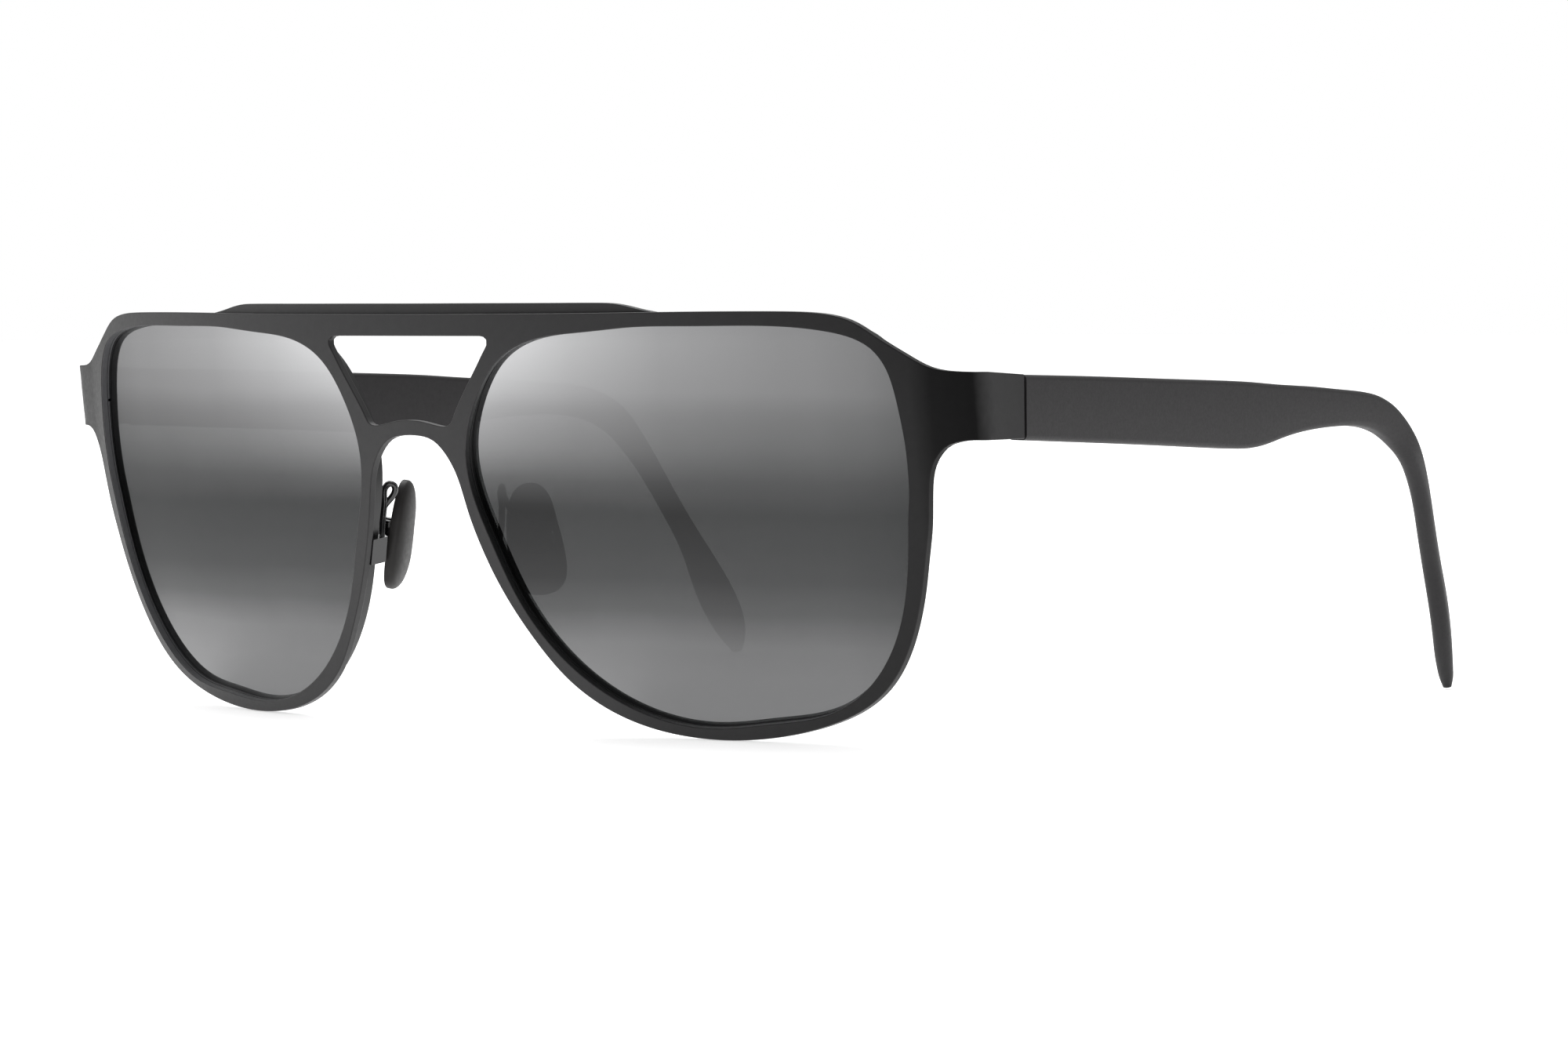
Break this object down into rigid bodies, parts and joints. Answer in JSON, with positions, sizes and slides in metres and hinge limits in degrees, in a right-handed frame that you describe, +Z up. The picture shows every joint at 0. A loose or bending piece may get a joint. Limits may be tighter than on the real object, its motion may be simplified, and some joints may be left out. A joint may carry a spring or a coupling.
{
  "type": "aviator sunglasses",
  "caption": "Aviator sunglasses with a flat double bridge front, mirrored wrap lenses, adjustable nose pads and folding blade temples that curve down to flat ear tips.",
  "frame": {"origin": "On the ground plane, midway between the temples and midway between the front-most and the rear-most point.", "axes": "+Z up, the front faces -Y, the temples run towards +Y, +X is the wearer's left. Stands on both rims' lowest points and both temple tips."},
  "size_m": [0.1454, 0.1251, 0.0493],
  "materials": {
    "front_paint": "matte charcoal paint on a flat metal sheet",
    "bar_paint": "matte charcoal paint",
    "wire_paint": "satin black paint on the rim wire",
    "hinge_paint": "satin black paint on the hinge",
    "pad_wire_paint": "gloss black paint on the pad arm",
    "mirror_lens": "dark tint with a silver mirror that fades towards the middle",
    "soft_touch": "matte soft-touch dark grey",
    "pad_silicone": "smooth dark brown-grey silicone",
    "screw_steel": "plain steel",
    "core_steel": "plain steel, hidden inside"
  },
  "bodies": {
    "front": {"front_frame": "front_paint", "brow_bar": "bar_paint", "lens_left": "mirror_lens", "eyewire_left": "wire_paint", "rim_screw_left": "screw_steel", "rim_lock_upper_left": "wire_paint", "rim_lock_lower_left": "wire_paint", "front_hinge_left": "hinge_paint", "hinge_screw_left": "screw_steel", "pad_arm_left": "pad_wire_paint", "pad_lug_left": "pad_wire_paint", "pad_box_left": "pad_wire_paint", "pad_screw_left": "screw_steel", "lens_right": "mirror_lens", "eyewire_right": "wire_paint", "rim_screw_right": "screw_steel", "rim_lock_upper_right": "wire_paint", "rim_lock_lower_right": "wire_paint", "front_hinge_right": "hinge_paint", "hinge_screw_right": "screw_steel", "pad_arm_right": "pad_wire_paint", "pad_lug_right": "pad_wire_paint", "pad_box_right": "pad_wire_paint", "pad_screw_right": "screw_steel"},
    "temple_left_body": {"temple_arm_left": "soft_touch", "temple_core_left": "core_steel", "temple_hinge_left": "hinge_paint"},
    "temple_right_body": {"temple_arm_right": "soft_touch", "temple_core_right": "core_steel", "temple_hinge_right": "hinge_paint"},
    "pad_left_body": {"nose_pad_left": "pad_silicone", "pad_insert_left": "core_steel"},
    "pad_right_body": {"nose_pad_right": "pad_silicone", "pad_insert_right": "core_steel"}
  },
  "joints": [
    {"name": "left_temple_fold", "type": "hinge", "parent": "front", "child": "temple_left_body", "pos_m": [0.06955, -0.03925, 0.0374], "axis": [0, 0, 1], "range_deg": [0, 85]},
    {"name": "right_temple_fold", "type": "hinge", "parent": "front", "child": "temple_right_body", "pos_m": [-0.06955, -0.03925, 0.0374], "axis": [0, 0, -1], "range_deg": [0, 81]},
    {"name": "left_pad_rock", "type": "hinge", "parent": "front", "child": "pad_left_body", "pos_m": [0.01231, -0.05368, 0.0223], "axis": [-0.489, -0.8697, -0.0673], "range_deg": [-5, 5]},
    {"name": "right_pad_rock", "type": "hinge", "parent": "front", "child": "pad_right_body", "pos_m": [-0.01231, -0.05368, 0.0223], "axis": [0.489, -0.8697, -0.0673], "range_deg": [-5, 5]}
  ]
}
